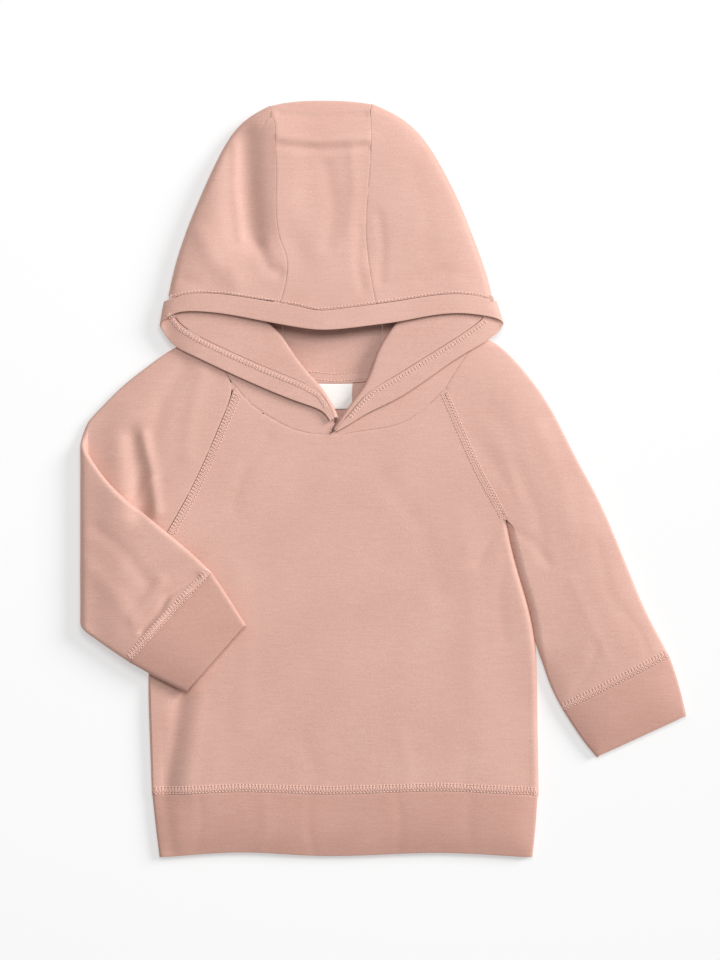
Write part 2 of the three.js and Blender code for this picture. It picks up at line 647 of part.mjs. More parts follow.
const crownMiddle = (x, y) => hoodTop(x, y) - cloth / 2;
const at = (plan, height) => new THREE.Vector3(plan.x, plan.y, height(plan.x, plan.y));
const onSwell = (plan, height) => new THREE.Vector3(plan.x, plan.y, height + swellAt(plan.x, plan.y));
const rollAngles = (count) => steps(count).slice(1, -1).map((share) => Math.PI * (0.5 - share));

// Centre panel: from the face band over the crown and down the back to the neck
function hoodCentre() {
  const shares = ['left', 'right'].map((name) => {
    return nearestShare(hoodEdge, apex[name]) - (sign[name] * gaps.crownEdge) / hoodEdge.span;
  });
  return steps(6).map((across) => {
    const roll = crownRoll(shares[0] + across * (shares[1] - shares[0]));
    const aside = new THREE.Vector2(gaps.centrePanel * (1 - 2 * across), 0);
    const sheet = (name, firstLine) => steps(hoodRows).map((rise) => {
      const straight = (place) => between(hoodSeams.left[name](place), hoodSeams.right[name](place), across);
      const startBend = firstLine(across).sub(straight(0));
      const endBend = roll.centre.clone().sub(straight(1));
      const plan = straight(rise).add(aside).addScaledVector(startBend, (1 - rise) ** 3);
      return plan.addScaledVector(endBend, rise ** 3);
    });
    const faceLine = moved(stretch(crownSeam, topSeam.left[0], topSeam.right[0]), 0, gaps.centreEnds);
    const backLine = stretch(backNeck.back, underSeam.left[0], underSeam.right[0]);
    const neckLine = moved(backLine, 0, gaps.centreEnds);
    const top = sheet('top', faceLine).map((plan) => at(plan, crownMiddle));
    const under = sheet('under', neckLine).map((plan) => at(plan, tableMiddle));
    return [...top, ...rollAngles(4).map((angle) => roll.at(angle)), ...under.reverse()];
  });
}
addPiece('hood_centre', wall(hoodCentre(), cloth), lightJersey);

// Side panel's larger part: from its seam on the crown, round the edge of the lay, to its seam underneath
const hoodColumns = 6;
const crownFoot = { left: [-131.3, 249.4], right: [109.9, 248.9] };
const besideFoot = { left: [-130.2, 233], right: [110.9, 233] }; // on the way down to the shoulder

function crownWall(name) {
  const { top, under } = hoodSeams[name];
  const start = name === 'left' ? 0 : 1;
  const end = nearestShare(hoodEdge, apex[name]) + (sign[name] * gaps.crownEdge) / hoodEdge.span;
  const aside = new THREE.Vector2(sign[name] * gaps.hoodSeam, 0);
  const outerFoot = outline([crownFoot[name], besideFoot[name], shoulder[name]]);
  const innerFoot = stretch(backNeck.back, backCorner[name], underSeam[name][0]);
  const neckFoot = joined(backwards(backNeck[name]), innerFoot, 1 / 2);
  const foot = towards(crownCentre, joined(outerFoot, neckFoot, 1 / 3), gaps.backNeck);
  const face = moved(stretch(crownSeam, crownFoot[name], topSeam[name][0]), 0, gaps.faceBand);
  return steps(hoodRows).map((rise) => {
    const roll = crownRoll(start + rise * (end - start));
    const sheet = (seam, footLine) => steps(hoodColumns).map((share) => {
      const first = between(crownRoll(start).centre, seam(0), share);
      const bend = share > 0 && share < 1 ? footLine(share).sub(first) : new THREE.Vector2();
      return between(roll.centre, seam(rise), share).addScaledVector(bend, (1 - rise) ** 3).add(aside);
    });
    const above = sheet(top, face).map((plan) => at(plan, crownMiddle));
    const below = sheet(under, foot).map((plan) => at(plan, tableMiddle));
    return [...above.reverse(), ...rollAngles(5).map((angle) => roll.at(angle)), ...below];
  });
}

// Side panel's front edge: the flap that shows its inside, the fold, and the strip down to the neck seam
const frontFold = {
  left: outline([
    [-84, 262], [-70, 246], [-57, 229], [-48, 221], [-42, 211], [-35, 201], [-27, 191],
    [-17.5, 181], [-11, 171],
    [-6.6, 163.5], [-4.4, 157.5],
  ]),
  right: outline([
    [64, 262], [51, 245], [40, 230], [34, 222], [27.5, 212], [23.6, 202], [20.5, 192],
    [16.8, 184], [11.8, 176.2],
    [6.2, 169.4], [0.4, 160.8], [-5, 153.4], [-8.4, 148],
  ]),
};
const firstCrownRow = bandTable.findIndex((row) => row.level === 'crown');
const lastCrownRow = bandTable.findLastIndex((row) => row.level === 'crown');
const turnedSeam = {
  left: bandSeam.slice(bandSteps * (lastCrownRow + 2)),
  right: bandSeam.slice(0, bandSteps * (firstCrownRow - 2) + 1).reverse(),
};
const flapEdge = {
  left: outline([[-134.6, 257], [-134.8, 250], [-134.8, 245], ...turnedSeam.left.map(({ x, y }) => [x, y])]),
  right: outline([[112.8, 257], [113.4, 250], [113.6, 245], ...turnedSeam.right.map(({ x, y }) => [x, y])]),
};
const overlapAt = { left: [-12, 143.4], right: [-11.2, 143.4] };
const strip = {
  left: joined(backwards(neck.left), stretch(neck.front, neckCorner.left, overlapAt.left), 0.34),
  right: joined(backwards(neck.right), stretch(neck.front, neckCorner.right, overlapAt.right), 0.33),
};
const neckCentre = [-7, 215];

function lapel(name) {
  const neckSide = towards(neckCentre, strip[name], gaps.frontNeck);
  const radius = (flapMiddle - stripMiddle) / 2;
  return steps(lapelRows).map((step) => {
    const share = 1 - (1 - step) ** 1.4; // closer rows where the edge bends at the centre front
    const fold = frontFold[name](share);
    const along = frontFold[name](share + alongStep).sub(frontFold[name](share - alongStep)).normalize();
    const inward = new THREE.Vector2(along.y, -along.x).multiplyScalar(-sign[name]);
    const centre = fold.clone().addScaledVector(inward, radius + cloth / 2);
    const edgeGap = THREE.MathUtils.lerp(gaps.flap, gaps.flapAtEnd, share ** 2);
    const edge = towards(fold.toArray(), flapEdge[name], edgeGap)(share);
    const seam = neckSide(share);
    const flap = steps(4).map((k) => onSwell(between(edge, centre, k), flapMiddle));
    const roll = rollAngles(4).map((angle) => {
      const plan = centre.clone().addScaledVector(inward, -radius * Math.cos(angle));
      return onSwell(plan, stripMiddle + radius + radius * Math.sin(angle));
    });
    const seamHeight = topMiddle(seam.x, seam.y) - swellAt(seam.x, seam.y);
    const down = steps(4).map((k) => {
      return onSwell(between(centre, seam, k), THREE.MathUtils.lerp(stripMiddle, seamHeight, k));
    });
    return [...flap, ...roll, ...down];
  });
}

// Two walls of one cloth become one body
const manifold = await Module();
manifold.setup();

function asSolid(geometry) {
  return new manifold.Manifold(new manifold.Mesh({
    numProp: 3,
    vertProperties: geometry.attributes.position.array,
    triVerts: Uint32Array.from(geometry.index.array),
  }));
}

function sewnTogether(first, second) {
  const { vertProperties, triVerts } = asSolid(first).add(asSolid(second)).getMesh();
  return faceOutwards([...vertProperties], [...triVerts]);
}

for (const name of ['left', 'right']) {
  addPiece(`hood_${name}`, sewnTogether(wall(crownWall(name), cloth), wall(lapel(name), cloth)), lightJersey);
}

// Tape over the back neck seam, and the label sewn on below it
const trim = 1; // wall of the tape and the label
const trimHeight = cloth + 0.3 + trim / 2; // middle of its wall, just above the back
const tapeWidth = 8.5;
const tapeBelowSeam = 0.6;
const tapeSeam = trimmed(backNeck.back, 0.03);
const tape = steps(12).map((share) => {
  const seam = tapeSeam(share);
  return steps(2).map((k) => new THREE.Vector3(seam.x, seam.y + tapeWidth * k - tapeBelowSeam, trimHeight));
});
addPiece('neck_tape', wall(tape, trim), lightJersey);

const label = { left: -22, right: 6.4, foot: 163.6, top: 183 };
const labelSheet = steps(3).map((share) => steps(3).map((k) => new THREE.Vector3(
  THREE.MathUtils.lerp(label.left, label.right, share),
  THREE.MathUtils.lerp(label.foot, label.top, k),
  trimHeight,
)));
addPiece('label', wall(labelSheet, trim), satin);

export default hoodie;
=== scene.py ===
# %% [markdown]
# # A toddler's hoodie, laid flat
# The hoodie's cut pieces come to this lesson as stiff, closed walls of the right size and place.
# It could be modelled again from nothing, but then seams and sizes would have to be fitted.
# So each wall is turned into soft cloth, and the seams are sewn on the cloth afterwards.

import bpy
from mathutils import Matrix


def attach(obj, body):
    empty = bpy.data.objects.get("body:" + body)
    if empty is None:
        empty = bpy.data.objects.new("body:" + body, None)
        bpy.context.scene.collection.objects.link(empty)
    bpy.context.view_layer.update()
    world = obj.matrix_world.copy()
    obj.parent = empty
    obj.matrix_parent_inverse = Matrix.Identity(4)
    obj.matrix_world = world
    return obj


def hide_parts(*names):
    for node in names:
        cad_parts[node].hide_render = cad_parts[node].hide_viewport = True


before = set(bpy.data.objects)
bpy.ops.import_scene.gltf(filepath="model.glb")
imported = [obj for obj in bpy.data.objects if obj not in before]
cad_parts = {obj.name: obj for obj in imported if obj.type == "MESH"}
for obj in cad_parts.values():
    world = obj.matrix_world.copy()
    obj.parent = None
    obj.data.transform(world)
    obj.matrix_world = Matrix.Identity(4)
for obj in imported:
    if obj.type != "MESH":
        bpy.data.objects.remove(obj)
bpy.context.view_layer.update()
print("pieces:", ", ".join(sorted(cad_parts)))

# %% [markdown]
# ## Tools and units
# A garment is drawn and cut in millimetres, while Blender measures in metres.
# So the numbers here are in millimetres, times MM where they go into a mesh.
# Colours are written as a dyer's card or a web page gives them, and Blender wants them linear.

# %% Units, colours and new objects
import math

import bmesh
import bpy
from mathutils import Matrix, Vector
from mathutils.bvhtree import BVHTree

MM = 0.001
MIDDLE = Vector((12.4, 108.5)) * MM  # of the picture, on the table


def linear(hex_colour):
    """The linear colour of an sRGB hex value, with full alpha."""
    parts = [int(hex_colour[k:k + 2], 16) / 255 for k in (0, 2, 4)]
    return [c / 12.92 if c <= 0.04045 else ((c + 0.055) / 1.055) ** 2.4 for c in parts] + [1]


def new_object(name, form):
    """An object in the scene with the form's mesh, after which the form is freed."""
    mesh = bpy.data.meshes.new(name)
    form.to_mesh(mesh)
    form.free()
    made = bpy.data.objects.new(name, mesh)
    bpy.context.scene.collection.objects.link(made)
    return made


print("picture centred on", [round(v, 4) for v in MIDDLE])

# %% [markdown]
# ## The camera and the light
# A catalogue flat lay is photographed from straight above with a long lens, so that nothing leans.
# A big soft lamp on the right makes each fold bright on its right and dark on its left.
# A weaker one beyond the hood gives the top of the lay a pale gloss that fades towards the waist.
# The big lamp is a sun lamp with a wide angle, because an area lamp near the table lights it unevenly.

# %% The camera looks straight down
LENS = 85  # mm
SENSOR = 36  # mm, on the picture's long side
PICTURE_HEIGHT = 744 * MM  # of the lay, from the picture's top to its bottom
LAY_LEVEL = 6 * MM  # the height above the table at which the picture takes in that much
camera_data = bpy.data.cameras.new("camera")
camera_data.lens = LENS
camera_data.sensor_width = SENSOR
camera = bpy.data.objects.new("camera", camera_data)
camera.location = (*MIDDLE, PICTURE_HEIGHT * LENS / SENSOR + LAY_LEVEL)
bpy.context.scene.collection.objects.link(camera)
bpy.context.scene.camera = camera
print("camera height", round(camera.location.z, 3), "m")

# %% Lamps
main_lamp = bpy.data.lights.new("main_lamp", "SUN")
main_lamp.energy = 3
main_lamp.angle = math.radians(26)  # as wide as a big soft lamp looks from the table
gloss_lamp = bpy.data.lights.new("gloss_lamp", "AREA")
gloss_lamp.energy = 15
gloss_lamp.size = 0.7
LAMP_PLACES = [(main_lamp, (1.6, 0.85, 0.85)), (gloss_lamp, (0.15, 0.8, 1.7))]  # metres
for lamp, place in LAMP_PLACES:
    holder = bpy.data.objects.new(lamp.name, lamp)
    holder.location = place
    to_lay = Vector((*MIDDLE, 0)) - holder.location
    holder.rotation_euler = to_lay.to_track_quat("-Z", "Y").to_euler()
    bpy.context.scene.collection.objects.link(holder)
print("lamps:", len(LAMP_PLACES))

# %% Light from all round
SKY_STRENGTH = 0.31  # keeps the dark side of a fold soft
sky = bpy.data.worlds.new("studio")
sky.use_nodes = True
sky.node_tree.nodes["Background"].inputs["Color"].default_value = (1, 1, 1, 1)
sky.node_tree.nodes["Background"].inputs["Strength"].default_value = SKY_STRENGTH
bpy.context.scene.world = sky
bpy.context.scene.view_settings.view_transform = "Standard"
print("sky strength", SKY_STRENGTH)

# %% [markdown]
# ## Cloth from a sized wall
# Jersey has no flat facets and no hard folds, but its cut edges are crisp.
# It could be draped by a simulation, but a laid garment hardly moves, and its outline has to stay.
# Subdivision rounds everything, so the cut edges of each wall are first marked to stay sharp.

# %% Smooth a copy of a wall
MERGE = 0.01 * MM  # corners of loose triangles nearer than this are one corner
FLAT_PAIR = math.radians(30)  # two triangles flatter than this become one face
SQUARE_PAIR = math.radians(80)  # if its corners aren't further than this from square
CUT_EDGE = math.radians(62)  # no roll of the cloth turns this sharply from face to face


def apply_modifiers(piece):
    """Puts the modifiers' result in the mesh."""
    drawn = piece.evaluated_get(bpy.context.evaluated_depsgraph_get())
    finished = bpy.data.meshes.new_from_object(drawn)
    piece.modifiers.clear()
    piece.data = finished


def smooth_copy(node, levels):
    """A piece with the wall's form, subdivided, whose cut edges stay where they are."""
    form = bmesh.new()
    form.from_mesh(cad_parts[node].data)
    bmesh.ops.remove_doubles(form, verts=form.verts, dist=MERGE)
    bmesh.ops.join_triangles(
        form, faces=form.faces,
        angle_face_threshold=FLAT_PAIR, angle_shape_threshold=SQUARE_PAIR,
    )
    crease = form.edges.layers.float.new("crease_edge")
    for edge in form.edges:
        edge[crease] = 1 if edge.calc_face_angle(0) > CUT_EDGE else 0
    piece = new_object("cloth_" + node, form)
    rounding = piece.modifiers.new("rounding", "SUBSURF")
    rounding.levels = rounding.render_levels = levels
    apply_modifiers(piece)
    return piece


print("a cut edge turns more than", round(math.degrees(CUT_EDGE)), "degrees")

# %% One piece of cloth for each wall
LEVELS = {  # three for the pieces with creases, for which two are too coarse
    "front_panel": 3,
    "back_panel": 2,
    "waistband": 3,
    "sleeve_left": 3,
    "sleeve_right": 3,
    "cuff_left": 2,
    "cuff_right": 2,
    "hood_left": 3,
    "hood_centre": 3,
    "hood_right": 3,
    "hood_band": 2,
    "neck_tape": 2,
    "label": 2,
}
cloth = {node: smooth_copy(node, levels) for node, levels in LEVELS.items()}
for node, piece in cloth.items():
    print(node, len(piece.data.polygons), "faces")

# %% [markdown]
# ## Creases
# Cloth that has been folded and laid down keeps soft creases, none of them straight or even.
# A simulation would make creases in other places than the real ones.
# So each crease is a trough or a ridge along a few listed points.
# It moves only the cloth above a height, so that the layers under it stay as they are.

# %% Where the creases are
CREASES = {  # mm
    "sleeve_left": [
        {"above": 9, "width": 2.6, "height": -1.5,
         "line": [(-155.5, -7.8), (-141.2, 8.9), (-135.9, 19.5), (-112.8, 33.8)]},
        {"above": 9, "width": 3, "height": 0.8,
         "line": [(-152, -11), (-137, 6), (-131, 17), (-110, 31)]},
        {"above": 9, "width": 4.5, "height": 0.8, "line": [(-163, 2), (-149, 18), (-141, 31)]},
        {"above": 9, "width": 6, "height": -0.7, "line": [(-190, 70), (-168, 52), (-152, 30)]},
        {"above": 9, "width": 7, "height": 0.6, "line": [(-196, 40), (-176, 20), (-162, -2)]},
        {"above": 3, "width": 7, "height": -0.9, "line": [(-124, 196), (-140, 170), (-150, 140)]},
        {"above": 3, "width": 6, "height": 0.6, "line": [(-110, 190), (-118, 160), (-122, 128)]},
        {"above": 3, "width": 8, "height": -3, "line": [(-164, 142), (-161, 118), (-158, 84)]},
        {"above": 3, "width": 4.5, "height": 2, "line": [(-155, 142), (-149, 116), (-145, 84)]},
    ],
    "front_panel": [
        {"above": 4, "width": 6, "height": -1.4, "line": [(-126, -46), (-131, -90), (-137, -130)]},
        {"above": 4, "width": 7, "height": 0.9, "line": [(-112, -56), (-117, -96), (-122, -130)]},
        {"above": 4, "width": 5, "height": -0.36, "line": [(-58, 140), (-76, 118), (-86, 88)]},
        {"above": 4, "width": 8, "height": -0.3, "line": [(-120, 40), (-104, 8), (-98, -30)]},
        {"above": 4, "width": 9, "height": 0.36, "line": [(-84, 40), (-74, -20), (-80, -80)]},
        {"above": 4, "width": 8, "height": -0.3, "line": [(30, 110), (62, 70), (74, 20)]},
        {"above": 4, "width": 9, "height": 0.3, "line": [(88, 80), (100, 20), (98, -50)]},
        {"above": 4, "width": 3.6, "height": -0.48, "line": [(122, 74), (112, 62), (104, 44)]},
        {"above": 4, "width": 3.6, "height": 0.36, "line": [(116, 84), (104, 72), (94, 56)]},
        {"above": 4, "width": 5, "height": -0.3, "line": [(126, 50), (120, 20), (124, -14)]},
        {"above": 4, "width": 7, "height": -0.3, "line": [(-30, -96), (-22, -120), (-26, -134)]},
        {"above": 4, "width": 6, "height": 0.3, "line": [(44, -90), (50, -116), (48, -134)]},
        {"above": 4, "width": 6, "height": -0.3, "line": [(96, -100), (92, -120), (94, -134)]},
    ],
    "waistband": [
        {"above": 4, "width": 4, "height": -0.3, "line": [(-26, -136), (-28, -156), (-24, -180)]},
        {"above": 4, "width": 6, "height": -0.8, "line": [(-138, -138), (-136, -158), (-134, -178)]},
        {"above": 4, "width": 5, "height": 0.24, "line": [(-62, -136), (-60, -160), (-64, -178)]},
        {"above": 4, "width": 4, "height": -0.24, "line": [(40, -136), (44, -154), (42, -178)]},
        {"above": 4, "width": 5, "height": -0.24, "line": [(98, -136), (96, -158), (100, -178)]},
        {"above": 4, "width": 4, "height": -0.24, "line": [(-112, -136), (-110, -158), (-114, -178)]},
    ],
    "sleeve_right": [
        {"above": 3, "width": 6, "height": -0.4, "line": [(132, 120), (150, 84), (154, 50)]},
        {"above": 3, "width": 7, "height": 0.35, "line": [(150, 150), (168, 112), (174, 70)]},
        {"above": 3, "width": 5, "height": -0.3, "line": [(196, 60), (204, 24), (222, -10)]},
        {"above": 3, "width": 5, "height": 0.3, "line": [(176, 30), (190, 0), (204, -30)]},
        {"above": 3, "width": 3.6, "height": -0.35, "line": [(178, -56), (190, -38), (196, -20)]},
        {"above": 3, "width": 3.6, "height": -0.3, "line": [(236, -28), (230, -10), (218, 6)]},
        {"above": 3, "width": 4, "height": -0.4, "line": [(132, 70), (146, 60), (158, 44)]},
    ],
    "hood_left": [
        {"above": 6, "width": 9, "height": -2.3, "line": [(-73, 372), (-72, 330), (-69, 292)]},
        {"above": 6, "width": 4, "height": 0.9, "line": [(-84, 366), (-84, 330), (-80, 296)]},
        {"above": 6, "width": 5, "height": -1.0, "line": [(-66, 290), (-58, 272), (-50, 268)]},
        {"above": 6, "width": 7, "height": 0.7, "line": [(-112, 300), (-100, 276), (-84, 262)]},
        {"above": 6, "width": 5, "height": -0.6, "line": [(-122, 262), (-108, 258), (-92, 268)]},
    ],
    "hood_centre": [
        {"above": 6, "width": 2.6, "height": -0.8, "line": [(-50, 391), (-20, 388), (16, 391)]},
        {"above": 6, "width": 3, "height": 0.6, "line": [(-50, 373), (-20, 370), (18, 372)]},
        {"above": 6, "width": 3.4, "height": -0.9, "line": [(-50, 366), (-20, 363), (18, 365)]},
        {"above": 6, "width": 6, "height": -0.6, "line": [(-14, 350), (-8, 320), (-12, 290)]},
        {"above": 6, "width": 5, "height": 0.5, "line": [(6, 366), (8, 330), (4, 300)]},
        {"above": 6, "width": 4, "height": -0.5, "line": [(12, 300), (10, 276), (14, 256)]},
    ],
    "hood_right": [
        {"above": 6, "width": 8, "height": -0.35, "line": [(52, 350), (64, 320), (66, 286)]},
        {"above": 6, "width": 8, "height": 0.35, "line": [(86, 316), (92, 290), (86, 264)]},
        {"above": 6, "width": 4, "height": -0.56, "line": [(27, 312), (30, 290), (28, 262)]},
        {"above": 6, "width": 5, "height": -0.35, "line": [(60, 262), (74, 270), (92, 266)]},
    ],
}
print("creases:", sum(len(creases) for creases in CREASES.values()), "on", len(CREASES), "pieces")

# %% Press them into the cloth
REACH = 2.4  # widths, beyond which a crease leaves the cloth alone
FOOT = 2  # mm above the height where it starts, over which a crease grows to its full depth


def crease_height(crease, place):
    """How far a crease lifts or lowers the cloth at a place, in metres."""
    here = Vector((place.x, place.y)) / MM
    nearest = math.inf
    for start, end in zip(crease["line"], crease["line"][1:]):
        start, run = Vector(start), Vector(end) - Vector(start)
        share = min(max((here - start).dot(run) / run.length_squared, 0), 1)
        nearest = min(nearest, (here - start - run * share).length)
    return crease["height"] * MM * math.exp(-((nearest / crease["width"]) ** 2))


def press_crease(form, crease):
    """Moves the upper layer of a form up or down along one crease."""
    reach = crease["width"] * REACH * MM
    low = [min(point[k] for point in crease["line"]) * MM - reach for k in (0, 1)]
    high = [max(point[k] for point in crease["line"]) * MM + reach for k in (0, 1)]
    for vert in form.verts:
        x, y, z = vert.co
        if z > crease["above"] * MM and low[0] < x < high[0] and low[1] < y < high[1]:
            grown = min((z / MM - crease["above"]) / FOOT, 1)
            vert.co.z += grown * crease_height(crease, vert.co)


for node, creases in CREASES.items():
    form = bmesh.new()
    form.from_mesh(cloth[node].data)
    for crease in creases:
        press_crease(form, crease)
    form.to_mesh(cloth[node].data)
    form.free()
    print(node, len(creases), "creases")

# %% [markdown]
# ## Seams
# Where two cut pieces are sewn together, their edges roll down into the seam and touch in a fine dark line.
# The sized walls stop short of each other there, so both rims are first moved up to half way.
# A narrow bevel then gives each edge its roll, which is far quicker than modelling a seam allowance.

# %% Find the rims
RIM = 3.2 * MM  # a strip narrower than this between two cut edges is the rim of a wall


def rim_directions(form):
    """The vertices on the rims of a wall, each with its rim's outward direction."""
    directions, seen = {}, set()
    for first in form.faces:
        if first in seen:
            continue
        strip, waiting, border = [], [first], 0
        seen.add(first)
        while waiting:
            face = waiting.pop()
            strip.append(face)
            for edge in face.edges:
                if edge.calc_face_angle(0) > CUT_EDGE:
                    border += edge.calc_length()
                    continue
                for other in edge.link_faces:
                    if other not in seen:
                        seen.add(other)
                        waiting.append(other)
        if border and 2 * sum(face.calc_area() for face in strip) / border < RIM:
            for face in strip:
                for vert in face.verts:
                    directions[vert] = directions.get(vert, Vector()) + face.normal
    return directions


print("a rim is narrower than", round(RIM / MM, 1), "mm")

# %% Move the rims up to each other
GAP = 2.8 * MM  # the widest that is closed
SEAM_LINE = 0.13 * MM  # left open between the edges
AHEAD = 0.5  # how much of the way to a neighbour has to be straight ahead


def tree_of(pieces):
    """A search tree over several pieces."""
    form = bmesh.new()
    for piece in pieces:
        form.from_mesh(piece.data)
    tree = BVHTree.FromBMesh(form)
    form.free()
    return tree


def close_seams(piece, neighbours):
    """Moves a piece's rims half way to its neighbours, found straight ahead or else beside."""
    form = bmesh.new()
    form.from_mesh(piece.data)
    form.normal_update()
    moved = 0
    for vert, direction in rim_directions(form).items():
        direction.normalize()
        place, _, _, distance = neighbours.ray_cast(vert.co, direction, GAP)
        if place is None:
            place, _, _, distance = neighbours.find_nearest(vert.co, GAP)
        if place is None or distance <= SEAM_LINE:
            continue
        if (place - vert.co).dot(direction) > AHEAD * distance:
            vert.co += direction * (distance - SEAM_LINE) / 2
            moved += 1
    form.to_mesh(piece.data)
    form.free()
    return moved


others = {node: tree_of([piece for name, piece in cloth.items() if name != node]) for node in cloth}
for node, piece in cloth.items():
    print(node, close_seams(piece, others[node]), "rim vertices moved")

# %% [markdown]
# ## A sleeve against the body
# The right sleeve lies beside the body, and its under edge rests on the body's side.
# The two walls leave a sliver of table between them there, which would show as a white line.
# A crease can't close it, so the edge is moved over by a distance that fades out along and away from it.

# %% Let the sleeve lean on the body
LEAN = 1.9 * MM  # how far the edge moves
LEAN_FADE = 6  # mm from the body, over which the move fades out
SLEEVE_MIDDLE = 175  # mm to the right, beyond which nothing moves
ARMPIT = 78  # mm up the lay, where the leaning starts
PARTING = -35  # mm up the lay, where the sleeve and the body part
PARTING_FADE = 20  # mm above that place, where the edge is fully over


def lean_on_body(sleeve, body):
    """Moves the sleeve's under edge to the left, towards the body."""
    form = bmesh.new()
    form.from_mesh(sleeve.data)
    for vert in form.verts:
        x, y, _ = vert.co / MM
        if x < SLEEVE_MIDDLE and PARTING < y < ARMPIT:
            distance = body.find_nearest(vert.co)[3] / MM
            part = min((y - PARTING) / PARTING_FADE, 1)
            vert.co.x -= LEAN * part * math.exp(-((distance / LEAN_FADE) ** 2))
    form.to_mesh(sleeve.data)
    form.free()


lean_on_body(cloth["sleeve_right"], tree_of([cloth["front_panel"], cloth["back_panel"]]))
print("the sleeve leans", round(LEAN / MM, 1), "mm")

# %% [markdown]
# ## Edges that roll into their seams
# A sewn edge is never sharp: the cloth turns down into the seam over about its own thickness.
# It could be moved there vertex by vertex, but a Bevel modifier rounds all the cut edges at once.

# %% Round every cut edge
EDGE_ROLL = 0.6 * MM


def roll_edges(piece):
    """A narrow round on every cut edge."""
    rolled = piece.modifiers.new("edge_roll", "BEVEL")
    rolled.width = EDGE_ROLL
    rolled.segments = 2
    rolled.limit_method = "ANGLE"
    rolled.angle_limit = CUT_EDGE
    rolled.harden_normals = False
    apply_modifiers(piece)
    piece.data.shade_smooth()


for piece in cloth.values():
    roll_edges(piece)
print("triangles:", sum(len(p.vertices) - 2 for c in cloth.values() for p in c.data.polygons))

# %% [markdown]
# ## Jersey and its finishes
# The garment is cut from a dusty pink cotton jersey, knitted from a yarn of mixed tones and brushed matt.
# Seen close, its tone runs in short streaks across the body, over a grain of tiny stitches.
# A scanned picture of jersey would repeat and stretch, so the tones come from noise of real sizes.

# %% A small helper for materials
def add_node(material, kind, settings=None, links=None):
    """Adds a node, sets its properties or inputs by name, and links inputs to other nodes' outputs."""
    node = material.node_tree.nodes.new(kind)
    for key, value in (settings or {}).items():
        if isinstance(key, int) or key in node.inputs:
            node.inputs[key].default_value = value
        else:
            setattr(node, key, value)
    for key, source in (links or {}).items():
        material.node_tree.links.new(source, node.inputs[key])
    return node


def new_material(name):
    """A material and its shader."""
    material = bpy.data.materials.new(name)
    material.use_nodes = True
    return material, material.node_tree.nodes["Principled BSDF"]


print("a new material starts with a Principled BSDF")

# %% Yarn of mixed tones
STREAK = (50 / 3, 10 / 7, 5)  # mm: along the courses of stitches, across them, and through the cloth
GRAIN = 10 / 9  # mm; a stitch of jersey is about 0.8 mm, drawn coarser because the render can't show it
CLOUD = 500 / 11  # mm, the size of paler and darker patches where the brushing varies
STREAK_SHARE = 0.5  # the weight of the streaks beside the grain's weight of 1
CLOUD_SHARE = 0.5  # and of the clouds
DARKEST, LIGHTEST = 0.7, 1.3  # the sums of all three that get the dark and the light tone
RELIEF = 0.4 * MM  # the height of the brushed face's bumps


def yarn_cloth(name, light, dark):
    """Matt cloth between two tones: streaks and clouds over a fine grain."""
    material, shader = new_material(name)
    place = add_node(material, "ShaderNodeTexCoord")
    streaks_place = add_node(
        material, "ShaderNodeMapping", {"Scale": [1 / (size * MM) for size in STREAK]},
        {"Vector": place.outputs["Object"]},
    )
    streaks = add_node(
        material, "ShaderNodeTexNoise", {"Scale": 1, "Detail": 3, "Roughness": 0.6},
        {"Vector": streaks_place.outputs[0]},
    )
    grain = add_node(
        material, "ShaderNodeTexNoise", {"Scale": 1 / (GRAIN * MM), "Detail": 2, "Roughness": 0.6},
        {"Vector": place.outputs["Object"]},
    )
    clouds = add_node(
        material, "ShaderNodeTexNoise", {"Scale": 1 / (CLOUD * MM), "Detail": 2, "Roughness": 0.5},
        {"Vector": place.outputs["Object"]},
    )
    fine = add_node(
        material, "ShaderNodeMath", {"operation": "MULTIPLY_ADD", 1: STREAK_SHARE},
        {0: streaks.outputs["Fac"], 2: grain.outputs["Fac"]},
    )
    total = add_node(
        material, "ShaderNodeMath", {"operation": "MULTIPLY_ADD", 1: CLOUD_SHARE},
        {0: clouds.outputs["Fac"], 2: fine.outputs[0]},
    )
    tone = add_node(
        material, "ShaderNodeMapRange", {"From Min": DARKEST, "From Max": LIGHTEST},
        {"Value": total.outputs[0]},
    )
    colour = add_node(material, "ShaderNodeMix", {"data_type": "RGBA"}, {0: tone.outputs[0]})
    colour.inputs[6].default_value = linear(dark)
    colour.inputs[7].default_value = linear(light)
    material.node_tree.links.new(colour.outputs[2], shader.inputs["Base Color"])
    bump = add_node(
        material, "ShaderNodeBump", {"Strength": 0.25, "Distance": RELIEF},
        {"Height": fine.outputs[0]},
    )
    material.node_tree.links.new(bump.outputs[0], shader.inputs["Normal"])
    shader.inputs["Roughness"].default_value = 0.6
    shader.inputs["Specular IOR Level"].default_value = 0.5
    shader.inputs["Sheen Weight"].default_value = 0.25  # the fuzz of the brushed yarn
    shader.inputs["Sheen Roughness"].default_value = 0.5
    shader.inputs["Sheen Tint"].default_value = linear("f4d4c8")
    return material


# Cotton single jersey, knitted and brushed on its face: matt, with a soft gloss against the light.
jersey = yarn_cloth("brushed_cotton_jersey", "d8aea0", "c99b8c")
# The same yarn knitted tighter and doubled: a shade darker.
ribbing = yarn_cloth("cotton_ribbing", "cea192", "bf9082")
# Woven satin tape: white and even.
satin = yarn_cloth("woven_satin", "f6f4f1", "f0ece8")
# Spun polyester thread: paler than the cloth, so that every stitch shows.
thread = yarn_cloth("polyester_sewing_thread", "eecabd", "e6bfb1")
print("materials:", len(bpy.data.materials))

# %% [markdown]
# ## Dress the pieces
# The cuffs and the waistband are ribbing and the neck label is satin. All the rest is jersey.
# Each piece of cloth takes the place of the wall that it was made from, and stays with the garment.

